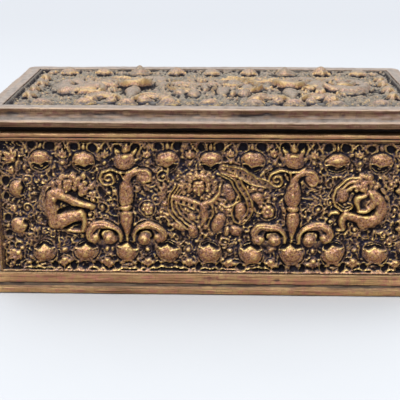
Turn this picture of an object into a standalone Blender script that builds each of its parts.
"""Cast bronze vanity trinket box with a hinged lid, modelled as the pieces it is assembled from.

Four relief walls stand on mitred base rails and are capped by mitred rim rails. A screwed bottom
plate, a felt sheet and a fabric-covered liner close the inside. The lid is a moulded frame that
holds a relief panel above and a screwed board with a pad below, and it turns on two butt hinges.

Frame: metres, +Z up, the front faces -Y, the origin is the centre of the felt's underside.
"Out" is the distance outwards from the walls' outer plane; it is negative inside the box.
"""

import math

import bmesh
import bpy
from mathutils import Matrix, Vector

MM = 0.001

# Driving dimensions
BODY_WIDTH = 165 * MM
BODY_DEPTH = 87 * MM
BASE_TOP = 9.3 * MM
RIM_BOTTOM = 61.7 * MM
RIM_TOP = 64.3 * MM
LID_BOTTOM = 66.9 * MM
LID_TOP = 74.2 * MM

WALL_THICKNESS = 3.5 * MM
RELIEF_DEPTH = 1.4 * MM
FIELD_MARGIN = 1.9 * MM
FIELD_LIP = 0.4 * MM
GAP = 0.3 * MM
MITRE_GAP = 0.2 * MM
CORNER_RADIUS = 3.0 * MM
LEAST_RADIUS = 0.4 * MM

# Border of bosses on every relief panel
BOSS_PITCH = 16 * MM
BOSS_INSET = 7.4 * MM
COLUMN_INSET = 5.9 * MM
COLUMN_PITCH = 14.9 * MM
BOSS_RADIUS = 4.2 * MM
BOSS_RISE = 1.3 * MM
BALUSTER_BOSS = 2
BALUSTER_RADIUS = 2.5 * MM
RELIEF_ROOT = 0.5 * MM

# Inside
LEDGE_OUT = -9.0 * MM
LEDGE_BOTTOM = 3.0 * MM
LEDGE_TOP = 6.0 * MM
PLATE_THICKNESS = 1.2 * MM
FLANGE_OUT = -6.6 * MM
LINER_THICKNESS = 2.5 * MM
FLOOR_THICKNESS = 2.1 * MM
FLOOR_PAD_HEIGHT = 3.5 * MM

# Lid
BAND_OUT = -4.4 * MM
REBATE_OUT = -6.2 * MM
WINDOW_OUT = -10.5 * MM
REBATE_DEPTH = 2.0 * MM
PANEL_LEDGE = 4.0 * MM
LID_RELIEF_RISE = 2.4 * MM
LID_CROWN_RISE = 3.6 * MM
LID_PAD_OUT = -10.9 * MM
LID_PAD_HEIGHT = 3.5 * MM

# Hinges: the axis lies in the rear wall's outer plane, and the lid's overhang stops it on the rim
HINGE_X = 50 * MM
HINGE_LENGTH = 24 * MM
KNUCKLES = 5
KNUCKLE_GAP = 0.3 * MM
BARREL_RADIUS = 1.8 * MM
BORE_RADIUS = 0.95 * MM
PIN_RADIUS = 0.85 * MM
PIN_HEAD_RADIUS = 1.3 * MM
PIN_HEAD = 0.5 * MM
LEAF_THICKNESS = 0.7 * MM
LEAF_OUT = -6.0 * MM
LEAF_SCREW_OUT = -4.05 * MM
LEAF_SCREW_SPACING = 16 * MM

# Screws, all of one kind
HEAD_RADIUS = 1.1 * MM
HEAD_DEPTH = 0.6 * MM
HEAD_EDGE = 0.1 * MM
SHANK_RADIUS = 0.5 * MM
SCREW_LENGTH = 2.6 * MM
SLOT_WIDTH = 0.35 * MM
SLOT_DEPTH = 0.3 * MM
SCREW_X = 60 * MM
BASE_SCREW_OUT = -6.5 * MM
LID_SCREW_OUT = -8.5 * MM

HALF_WIDTH = BODY_WIDTH / 2
HALF_DEPTH = BODY_DEPTH / 2
HINGE_AXIS = Vector((0, HALF_DEPTH, (RIM_TOP + LID_BOTTOM) / 2))
LEAF_OUTER = HINGE_AXIS.z - RIM_TOP - GAP
LEAF_INNER = LEAF_OUTER - LEAF_THICKNESS
WALL_BOTTOM = BASE_TOP + GAP
WALL_TOP = RIM_BOTTOM - GAP
FLOOR_BOTTOM = LEDGE_TOP + GAP
LINER_OUT = -(WALL_THICKNESS + GAP)
LINER_BOTTOM = FLOOR_BOTTOM + FLOOR_THICKNESS + GAP
LINER_TOP = RIM_BOTTOM - GAP
ROUND_STEPS = 20
SCREW_STEPS = 10
DOME_STEPS = 8
SMOOTH_ANGLE = math.radians(35)

# Each side's name, its turn about Z, half its length, and how far its wall plane is from the centre.
SIDES = {
    "front": (0.0, HALF_WIDTH, HALF_DEPTH),
    "right": (math.pi / 2, HALF_DEPTH, HALF_WIDTH),
    "rear": (math.pi, HALF_WIDTH, HALF_DEPTH),
    "left": (-math.pi / 2, HALF_DEPTH, HALF_WIDTH),
}


def clear_scene():
    for obj in list(bpy.data.objects):
        bpy.data.objects.remove(obj)


def make_material(name, colour, metallic, roughness):
    material = bpy.data.materials.new(name)
    material.use_nodes = True
    shader = material.node_tree.nodes["Principled BSDF"]
    shader.inputs["Base Color"].default_value = (*colour, 1.0)
    shader.inputs["Metallic"].default_value = metallic
    shader.inputs["Roughness"].default_value = roughness
    return material


def mesh_from(name, bm):
    """The mesh of a finished bmesh, facing out, smooth except at its edges."""
    bmesh.ops.remove_doubles(bm, verts=bm.verts, dist=1e-7)
    bmesh.ops.recalc_face_normals(bm, faces=bm.faces)
    mesh = bpy.data.meshes.new(name)
    bm.to_mesh(mesh)
    bm.free()
    mesh.shade_smooth()
    mesh.set_sharp_from_angle(angle=SMOOTH_ANGLE)
    return mesh


def place(name, mesh, material=None, location=(0, 0, 0), turn=0.0, parent=None):
    """An object at a world location, turned about Z, that follows parent if it has one."""
    obj = bpy.data.objects.new(name, mesh)
    bpy.context.scene.collection.objects.link(obj)
    obj.rotation_euler.z = turn
    obj.location = location
    if parent is not None:
        obj.parent = parent
        obj.location = Vector(location) - parent.location
    if material is not None and not obj.data.materials:
        obj.data.materials.append(material)
    return obj


def helper(name, mesh, **where):
    """A shape used only by a Boolean."""
    obj = place(name, mesh, **where)
    obj.hide_render = True
    obj.display_type = "WIRE"
    return obj


def boolean(obj, other, operation):
    modifier = obj.modifiers.new(other.name, "BOOLEAN")
    modifier.operation = operation
    modifier.object = other


def box_mesh(name, low, high):
    bm = bmesh.new()
    add_box(bm, low, high)
    return mesh_from(name, bm)


def add_box(bm, low, high):
    low, high = Vector(low), Vector(high)
    matrix = Matrix.Translation((low + high) / 2) @ Matrix.Diagonal((*(high - low), 1.0))
    bmesh.ops.create_cube(bm, size=1.0, matrix=matrix)


def centred_box(name, half_x, half_y, bottom, top):
    return box_mesh(name, (-half_x, -half_y, bottom), (half_x, half_y, top))


def add_prism(bm, points, start, end):
    """A solid with these (y, z) points as its section, from x = start to x = end."""
    rim = [bm.verts.new((start, y, z)) for y, z in points]
    face = bm.faces.new(rim)
    grown = bmesh.ops.extrude_face_region(bm, geom=[face])["geom"]
    moved = [v for v in grown if isinstance(v, bmesh.types.BMVert)]
    bmesh.ops.translate(bm, verts=moved, vec=(end - start, 0, 0))


def add_turned(bm, profile, steps, matrix=Matrix()):
    """A solid of revolution about Z from (radius, z) points that start and end on the axis."""
    verts = [bm.verts.new((radius, 0, z)) for radius, z in profile]
    edges = [bm.edges.new(pair) for pair in zip(verts, verts[1:])]
    spun = bmesh.ops.spin(
        bm, geom=verts + edges, cent=(0, 0, 0), axis=(0, 0, 1), angle=math.tau, steps=steps, use_merge=True
    )
    made = set(verts) | {v for v in spun["geom_last"] if isinstance(v, bmesh.types.BMVert)}
    pending = list(made)
    while pending:
        for edge in pending.pop().link_edges:
            for vert in edge.verts:
                if vert not in made:
                    made.add(vert)
                    pending.append(vert)
    bmesh.ops.transform(bm, matrix=matrix, verts=list(made))


def arc(centre, radius, start, end, steps):
    """Points along an arc; the angles are in degrees from the outward direction."""
    angles = [math.radians(start + (end - start) * i / steps) for i in range(steps + 1)]
    return [(centre[0] + radius * math.cos(a), centre[1] + radius * math.sin(a)) for a in angles]


def cavetto(low, high, steps=6):
    """A hollow curve that leaves its low point flat and reaches its high point upright."""
    turns = [math.pi / 2 * i / steps for i in range(steps + 1)]
    run, rise = low[0] - high[0], high[1] - low[1]
    return [(low[0] - run * math.sin(t), low[1] + rise * (1 - math.cos(t))) for t in turns]


def in_metres(points):
    return [(out * MM, z * MM) for out, z in points]


# Sections, as (out, z) points in millimetres


def base_section():
    inner, top = WALL_THICKNESS / MM, BASE_TOP / MM
    ledge = (LEDGE_OUT / MM, LEDGE_BOTTOM / MM, LEDGE_TOP / MM)
    foot = [(-inner, 0.3), (1.5, 0.3), (1.8, 0.6), (1.8, 2.2), (1.5, 2.5), (1.4, 2.75)]
    bead = arc((1.0, 3.6), 0.8, -55, 60, 4)
    hollow = [(0.95, 4.65), (0.95, 5.0), (1.2, 5.25)] + cavetto((1.2, 5.3), (0.4, top - 0.8))
    fillet = [(0.65, top - 0.7), (0.65, top - 0.15), (0.5, top), (-inner, top)]
    shelf = [(-inner, ledge[2]), (ledge[0], ledge[2]), (ledge[0], ledge[1]), (-inner, ledge[1])]
    return in_metres(foot + bead + hollow + fillet + shelf)


def rim_section():
    bottom, top = RIM_BOTTOM / MM, RIM_TOP / MM
    flange = FLANGE_OUT / MM
    fillet = [(flange, bottom), (0.45, bottom), (0.6, bottom + 0.15), (0.6, bottom + 0.7)]
    bead = arc((0.15, top - 0.75), 0.75, -65, 78, 6)
    return in_metres(fillet + [(0.35, bottom + 0.9)] + bead + [(-0.1, top), (flange, top)])


def wall_section():
    return [(-WALL_THICKNESS, WALL_BOTTOM), (0, WALL_BOTTOM), (0, WALL_TOP), (-WALL_THICKNESS, WALL_TOP)]


def liner_section():
    inner = LINER_OUT - LINER_THICKNESS
    return [(inner, LINER_BOTTOM), (LINER_OUT, LINER_BOTTOM), (LINER_OUT, LINER_TOP), (inner, LINER_TOP)]


def lid_section():
    bottom, top = LID_BOTTOM / MM, LID_TOP / MM
    band, window, rebate = BAND_OUT / MM, WINDOW_OUT / MM, REBATE_OUT / MM
    ledge, roof = bottom + PANEL_LEDGE / MM, bottom + REBATE_DEPTH / MM
    lip = [(rebate, bottom), (3.0, bottom), (3.4, bottom + 0.4), (3.4, bottom + 1.6), (3.1, bottom + 1.9)]
    hollow = cavetto((2.4, bottom + 2.05), (0.8, bottom + 5.4))
    fascia = [(1.2, bottom + 5.6), (1.4, bottom + 5.9), (1.4, top - 0.35), (1.05, top)]
    inside = [(band, top), (band, ledge), (window, ledge), (window, roof), (rebate, roof)]
    return in_metres(lip + hollow + fascia + inside)


# Builders of one kind of piece each


def mitred_mesh(name, section, half_length):
    """A bar along X, facing -Y, with its wall plane at y = 0 and its ends mitred for square corners."""
    bm = bmesh.new()
    ends = []
    for sign in (-1, 1):
        ends.append([bm.verts.new((sign * (half_length + out - MITRE_GAP), -out, z)) for out, z in section])
        bm.faces.new(ends[-1])
    for i in range(len(section)):
        j = (i + 1) % len(section)
        bm.faces.new((ends[0][i], ends[0][j], ends[1][j], ends[1][i]))
    return mesh_from(name, bm)


def side_location(side):
    turn, _, distance = SIDES[side]
    return Matrix.Rotation(turn, 3, "Z") @ Vector((0, -distance, 0))


def make_bars(prefix, section, material):
    """The four mitred bars of a rectangular ring; opposite bars share a mesh."""
    meshes = {}
    for side, (turn, half_length, _) in SIDES.items():
        if half_length not in meshes:
            meshes[half_length] = mitred_mesh(prefix, section, half_length)
        place(f"{prefix}_{side}", meshes[half_length], material, side_location(side), turn)


def boss_places(half_along, half_up, row_count, column_count):
    """(along, up, is_crown) of every boss in a border: two rows and two columns."""
    for row in (-1, 1):
        for i in range(row_count):
            step = i - (row_count - 1) / 2
            crown = row_count > 2 * BALUSTER_BOSS and abs(step) == BALUSTER_BOSS
            yield step * BOSS_PITCH, row * (half_up - BOSS_INSET), crown
    for column in (-1, 1):
        for i in range(column_count):
            step = i - (column_count - 1) / 2
            yield column * (half_along - COLUMN_INSET), step * COLUMN_PITCH, False


def relief_mesh(name, half_along, half_up, row_count, column_count, rise, crown_rise):
    """Bosses and balusters rooted just under the plane z = 0, with x along the panel and y up it."""
    bm = bmesh.new()
    for along, up, is_crown in boss_places(half_along, half_up, row_count, column_count):
        height = crown_rise if is_crown else rise
        shape = Matrix.Diagonal((BOSS_RADIUS, BOSS_RADIUS, height, 1.0))
        matrix = Matrix.Translation((along, up, 0)) @ shape
        bmesh.ops.create_uvsphere(bm, u_segments=DOME_STEPS, v_segments=4, radius=1.0, matrix=matrix)
    if row_count > 2 * BALUSTER_BOSS:
        reach = half_up - BOSS_INSET - BOSS_RADIUS - GAP
        lying = Matrix.Rotation(-math.pi / 2, 4, "X")
        shape = Matrix.Diagonal((1, 1, rise / BALUSTER_RADIUS, 1.0))
        for sign in (-1, 1):
            matrix = Matrix.Translation((sign * BALUSTER_BOSS * BOSS_PITCH, 0, 0)) @ shape @ lying
            add_turned(bm, baluster_profile(reach), DOME_STEPS, matrix)
    bmesh.ops.remove_doubles(bm, verts=bm.verts, dist=1e-7)
    everything = bm.verts[:] + bm.edges[:] + bm.faces[:]
    root = (0, 0, -RELIEF_ROOT)
    bmesh.ops.bisect_plane(bm, geom=everything, plane_co=root, plane_no=(0, 0, -1), clear_outer=True)
    bmesh.ops.holes_fill(bm, edges=bm.edges, sides=0)
    return mesh_from(name, bm)


def baluster_profile(reach):
    """(radius, height) of a double vase from its pointed foot to its shoulders."""
    shares = [(0, -1), (0.45, -0.7), (0.95, -0.3), (0.6, -0.05), (0.75, 0.0), (0.6, 0.06)]
    shares += [(1.0, 0.4), (0.6, 0.8), (0, 1)]
    return [(radius * BALUSTER_RADIUS, height * reach) for radius, height in shares]


def make_walls(material):
    """A wall is a mitred plate with a sunk field that its relief stands in."""
    middle = (WALL_BOTTOM + WALL_TOP) / 2
    half_up = (WALL_TOP - WALL_BOTTOM) / 2 - FIELD_LIP
    plates, pockets, reliefs = {}, {}, {}
    for side, (turn, half_length, _) in SIDES.items():
        half_along = half_length - FIELD_MARGIN
        if half_length not in plates:
            rows = 9 if half_length == HALF_WIDTH else 4
            plates[half_length] = mitred_mesh("wall", wall_section(), half_length)
            low = (-half_along, -RELIEF_DEPTH, middle - half_up)
            high = (half_along, RELIEF_DEPTH, middle + half_up)
            pockets[half_length] = box_mesh("field", low, high)
            reliefs[half_length] = relief_mesh("relief", half_along, half_up, rows, 2, BOSS_RISE, BOSS_RISE)
            upright = Matrix.Translation((0, RELIEF_DEPTH, middle)) @ Matrix.Rotation(math.pi / 2, 4, "X")
            reliefs[half_length].transform(upright)
        where = {"location": side_location(side), "turn": turn}
        wall = place(f"wall_{side}", plates[half_length], material, **where)
        boolean(wall, helper(f"field_{side}", pockets[half_length], **where), "DIFFERENCE")
        boolean(wall, helper(f"relief_{side}", reliefs[half_length], **where), "UNION")


def rounded_ring(half_x, half_y, radius, steps=5):
    """Points of a rectangle with rounded corners, anticlockwise."""
    points = []
    for corner, (sx, sy) in enumerate(((1, 1), (-1, 1), (-1, -1), (1, -1))):
        for i in range(steps + 1):
            angle = (corner + i / steps) * math.pi / 2
            points.append(
                (
                    sx * (half_x - radius) + radius * math.cos(angle),
                    sy * (half_y - radius) + radius * math.sin(angle),
                )
            )
    return points


def make_lid_frame(material, parent):
    bm = bmesh.new()
    rings = []
    for out, z in lid_section():
        radius = max(CORNER_RADIUS + out, LEAST_RADIUS)
        points = rounded_ring(HALF_WIDTH + out, HALF_DEPTH + out, radius)
        rings.append([bm.verts.new((x, y, z)) for x, y in points])
    for ring, following in zip(rings, rings[1:] + rings[:1]):
        for i in range(len(ring)):
            j = (i + 1) % len(ring)
            bm.faces.new((ring[i], ring[j], following[j], following[i]))
    frame = place("lid_frame", mesh_from("lid_frame", bm), material, parent=parent)
    cut_from(frame, "frame_notches", barrel_notches(), parent)
    return frame


def barrel_notches():
    """The room that both hinges' barrels take."""
    bm = bmesh.new()
    half = HINGE_LENGTH / 2 + PIN_HEAD + 2 * GAP
    section = arc((HINGE_AXIS.y, HINGE_AXIS.z), BARREL_RADIUS + GAP, 0, 360, ROUND_STEPS)[:-1]
    for sign in (-1, 1):
        add_prism(bm, section, sign * HINGE_X - half, sign * HINGE_X + half)
    return bm


def cut_from(obj, name, bm, parent=None):
    boolean(obj, helper(name, mesh_from(name, bm), parent=parent), "DIFFERENCE")


def make_lid_panel(material, parent):
    half_x, half_y = HALF_WIDTH + BAND_OUT - GAP, HALF_DEPTH + BAND_OUT - GAP
    bottom, ground = LID_BOTTOM + PANEL_LEDGE + GAP, LID_TOP - RELIEF_DEPTH
    panel = place("lid_panel", centred_box("lid_panel", half_x, half_y, bottom, ground), material, parent=parent)
    relief = relief_mesh("lid_relief", half_x, half_y, 9, 3, LID_RELIEF_RISE, LID_CROWN_RISE)
    relief.transform(Matrix.Translation((0, 0, ground)))
    boolean(panel, helper("lid_relief", relief, parent=parent), "UNION")


def screw_profile(extra=0.0):
    """(radius, z) of a countersunk screw, head at z = 0 and pointing up, or of its hole if extra is set."""
    return [
        (0, -extra),
        (HEAD_RADIUS + extra, -extra),
        (HEAD_RADIUS + extra, HEAD_EDGE),
        (SHANK_RADIUS + extra, HEAD_DEPTH + extra),
        (SHANK_RADIUS + extra, SCREW_LENGTH - SHANK_RADIUS + extra),
        (0, SCREW_LENGTH + extra),
    ]


def screw_matrix(place_at, points_up):
    flip = Matrix() if points_up else Matrix.Rotation(math.pi, 4, "X")
    return Matrix.Translation(place_at) @ flip


def make_screw_mesh():
    """One slotted countersunk screw, shared by all of them."""
    bm = bmesh.new()
    add_turned(bm, screw_profile(), SCREW_STEPS)
    screw = place("screw_blank", mesh_from("screw", bm))
    half = SLOT_WIDTH / 2
    low, high = (-2 * HEAD_RADIUS, -half, -SLOT_DEPTH), (2 * HEAD_RADIUS, half, SLOT_DEPTH)
    slot = helper("screw_slot", box_mesh("screw_slot", low, high))
    boolean(screw, slot, "DIFFERENCE")
    return taken_mesh(screw, [slot])


def add_screw(name, mesh, material, place_at, points_up, parent=None):
    screw = place(name, mesh, material, place_at, parent=parent)
    screw.rotation_euler.x = 0 if points_up else math.pi


def screw_holes(places, points_up):
    bm = bmesh.new()
    for place_at in places:
        add_turned(bm, screw_profile(GAP), SCREW_STEPS, screw_matrix(place_at, points_up))
    return bm


def corner_spots(out, z):
    """Four screw places, two along the front and two along the rear."""
    across = HALF_DEPTH + out
    return [Vector((sx * SCREW_X, sy * across, z)) for sx in (-1, 1) for sy in (-1, 1)]


def make_bottom(materials, screw_mesh):
    """The bottom plate, screwed up into the base rails' ledge, and the felt that covers it."""
    half_x, half_y = HALF_WIDTH + LINER_OUT, HALF_DEPTH + LINER_OUT
    top = LEDGE_BOTTOM - GAP
    bottom = top - PLATE_THICKNESS
    place("base_felt", centred_box("base_felt", half_x, half_y, 0, bottom - GAP), materials["felt"])
    plate = centred_box("bottom_plate", half_x, half_y, bottom, top)
    plate = place("bottom_plate", plate, materials["bronze"])
    spots = corner_spots(BASE_SCREW_OUT, bottom)
    cut_from(plate, "bottom_plate_holes", screw_holes(spots, True))
    for side, sign in (("front", -1), ("rear", 1)):
        own = [spot for spot in spots if spot.y * sign > 0]
        cut_from(bpy.data.objects[f"base_rail_{side}"], f"base_holes_{side}", screw_holes(own, True))
    for number, spot in enumerate(spots, 1):
        add_screw(f"base_screw_{number}", screw_mesh, materials["brass"], spot, True)


def make_liner(materials):
    half_x, half_y = HALF_WIDTH + LINER_OUT, HALF_DEPTH + LINER_OUT
    floor = centred_box("liner_floor", half_x, half_y, FLOOR_BOTTOM, FLOOR_BOTTOM + FLOOR_THICKNESS)
    place("liner_floor", floor, materials["board"])
    make_bars("liner", liner_section(), materials["velvet"])
    inset = LINER_THICKNESS + GAP
    low = LINER_BOTTOM
    pad = centred_box("floor_pad", half_x - inset, half_y - inset, low, low + FLOOR_PAD_HEIGHT)
    place("floor_pad", pad, materials["velvet"])


def make_lid_lining(materials, screw_mesh, frame, parent):
    """The board screwed into the lid frame's rebate, and the pad glued under it."""
    out = REBATE_OUT - GAP
    top = LID_BOTTOM + REBATE_DEPTH - GAP
    board = centred_box("lid_board", HALF_WIDTH + out, HALF_DEPTH + out, LID_BOTTOM, top)
    board = place("lid_board", board, materials["board"], parent=parent)
    spots = corner_spots(LID_SCREW_OUT, LID_BOTTOM)
    cut_from(board, "lid_board_holes", screw_holes(spots, True), parent)
    cut_from(frame, "lid_frame_holes", screw_holes(spots, True), parent)
    for number, spot in enumerate(spots, 1):
        add_screw(f"lid_screw_{number}", screw_mesh, materials["brass"], spot, True, parent)
    half_x, half_y = HALF_WIDTH + LID_PAD_OUT, HALF_DEPTH + LID_PAD_OUT
    pad = centred_box("lid_pad", half_x, half_y, LID_BOTTOM - GAP - LID_PAD_HEIGHT, LID_BOTTOM - GAP)
    place("lid_pad", pad, materials["velvet"], parent=parent)


def knuckle_spans(first):
    """(start, end) along X of every second knuckle, counted from first."""
    pitch = HINGE_LENGTH / KNUCKLES
    for i in range(first, KNUCKLES, 2):
        start = -HINGE_LENGTH / 2 + i * pitch
        yield start + KNUCKLE_GAP / 2, start + pitch - KNUCKLE_GAP / 2


def knuckle_section(side):
    """A barrel with the tongue that joins it to its leaf; the axis is at (0, 0), side is 1 for the lid."""
    outer = math.degrees(math.asin(LEAF_OUTER / BARREL_RADIUS))
    inner = math.degrees(math.asin(LEAF_INNER / BARREL_RADIUS))
    barrel = arc((0, 0), BARREL_RADIUS, 180 - outer, -180 - inner, ROUND_STEPS)
    reach = -(BARREL_RADIUS + 2 * GAP)
    return [(y, side * z) for y, z in barrel + [(reach, LEAF_INNER), (reach, LEAF_OUTER)]]


def make_leaf_mesh(name, side):
    """A hinge leaf about an axis along X through the origin; side is 1 for the lid's and -1 for the body's."""
    low_z, high_z = sorted((side * LEAF_INNER, side * LEAF_OUTER))
    low = (-HINGE_LENGTH / 2, LEAF_OUT, low_z)
    high = (HINGE_LENGTH / 2, -(BARREL_RADIUS + GAP), high_z)
    leaf = place("leaf_blank", box_mesh(name, low, high))
    knuckles = bmesh.new()
    for start, end in knuckle_spans(0 if side < 0 else 1):
        add_prism(knuckles, knuckle_section(side), start, end)
    bore = bmesh.new()
    add_prism(bore, arc((0, 0), BORE_RADIUS, 0, 360, ROUND_STEPS)[:-1], -HINGE_LENGTH, HINGE_LENGTH)
    holes = screw_holes(leaf_screw_spots(Vector((0, 0, side * LEAF_INNER))), side > 0)
    helpers = []
    for tool, bm, operation in (
        ("leaf_knuckles", knuckles, "UNION"),
        ("leaf_bore", bore, "DIFFERENCE"),
        ("leaf_holes", holes, "DIFFERENCE"),
    ):
        helpers.append(helper(tool, mesh_from(tool, bm)))
        boolean(leaf, helpers[-1], operation)
    return taken_mesh(leaf, helpers)


def taken_mesh(obj, helpers):
    """The evaluated mesh of an object, which is then removed with its helpers."""
    graph = bpy.context.evaluated_depsgraph_get()
    mesh = bpy.data.meshes.new_from_object(obj.evaluated_get(graph))
    for unused in helpers + [obj]:
        bpy.data.objects.remove(unused)
    return mesh


def leaf_screw_spots(axis_point):
    half = LEAF_SCREW_SPACING / 2
    return [axis_point + Vector((sign * half, LEAF_SCREW_OUT, 0)) for sign in (-1, 1)]


def make_pin_mesh():
    end = HINGE_LENGTH / 2 + GAP
    half = [(0, end + PIN_HEAD), (0.7 * PIN_HEAD_RADIUS, end + PIN_HEAD), (PIN_HEAD_RADIUS, end + PIN_HEAD / 2)]
    half += [(PIN_HEAD_RADIUS, end), (PIN_RADIUS, end)]
    bm = bmesh.new()
    profile = half + [(radius, -z) for radius, z in half[::-1]]
    add_turned(bm, profile[::-1], ROUND_STEPS, Matrix.Rotation(math.pi / 2, 4, "Y"))
    return mesh_from("hinge_pin", bm)


def make_hinges(materials, screw_mesh, frame, parent):
    body_leaf = make_leaf_mesh("hinge_leaf_body", -1)
    lid_leaf = make_leaf_mesh("hinge_leaf_lid", 1)
    pin = make_pin_mesh()
    rail_spots, frame_spots = [], []
    for hand, sign in (("left", -1), ("right", 1)):
        centre = HINGE_AXIS + Vector((sign * HINGE_X, 0, 0))
        place(f"hinge_leaf_body_{hand}", body_leaf, materials["brass"], centre)
        place(f"hinge_leaf_lid_{hand}", lid_leaf, materials["brass"], centre, parent=parent)
        place(f"hinge_pin_{hand}", pin, materials["brass"], centre)
        down = leaf_screw_spots(centre - Vector((0, 0, LEAF_INNER)))
        up = leaf_screw_spots(centre + Vector((0, 0, LEAF_INNER)))
        rail_spots += down
        frame_spots += up
        for number, (low, high) in enumerate(zip(down, up), 1):
            add_screw(f"rim_screw_{hand}_{number}", screw_mesh, materials["brass"], low, False)
            add_screw(f"frame_screw_{hand}_{number}", screw_mesh, materials["brass"], high, True, parent)
    rail = bpy.data.objects["rim_rail_rear"]
    cut_from(rail, "rim_notches", barrel_notches())
    cut_from(rail, "rim_holes", screw_holes(rail_spots, False))
    cut_from(frame, "frame_holes", screw_holes(frame_spots, True), parent)


def main():
    clear_scene()
    materials = {
        "bronze": make_material("bronze", (0.30, 0.17, 0.08), 1.0, 0.42),
        "brass": make_material("brass", (0.62, 0.44, 0.20), 1.0, 0.35),
        "velvet": make_material("velvet", (0.10, 0.015, 0.03), 0.0, 0.95),
        "board": make_material("board", (0.16, 0.08, 0.04), 0.0, 0.8),
        "felt": make_material("felt", (0.03, 0.07, 0.04), 0.0, 1.0),
    }
    lid_axis = place("lid_axis", None, location=HINGE_AXIS)
    screw_mesh = make_screw_mesh()
    make_bars("base_rail", base_section(), materials["bronze"])
    make_walls(materials["bronze"])
    make_bars("rim_rail", rim_section(), materials["bronze"])
    make_bottom(materials, screw_mesh)
    make_liner(materials)
    frame = make_lid_frame(materials["bronze"], lid_axis)
    make_lid_panel(materials["bronze"], lid_axis)
    make_lid_lining(materials, screw_mesh, frame, lid_axis)
    make_hinges(materials, screw_mesh, frame, lid_axis)


main()
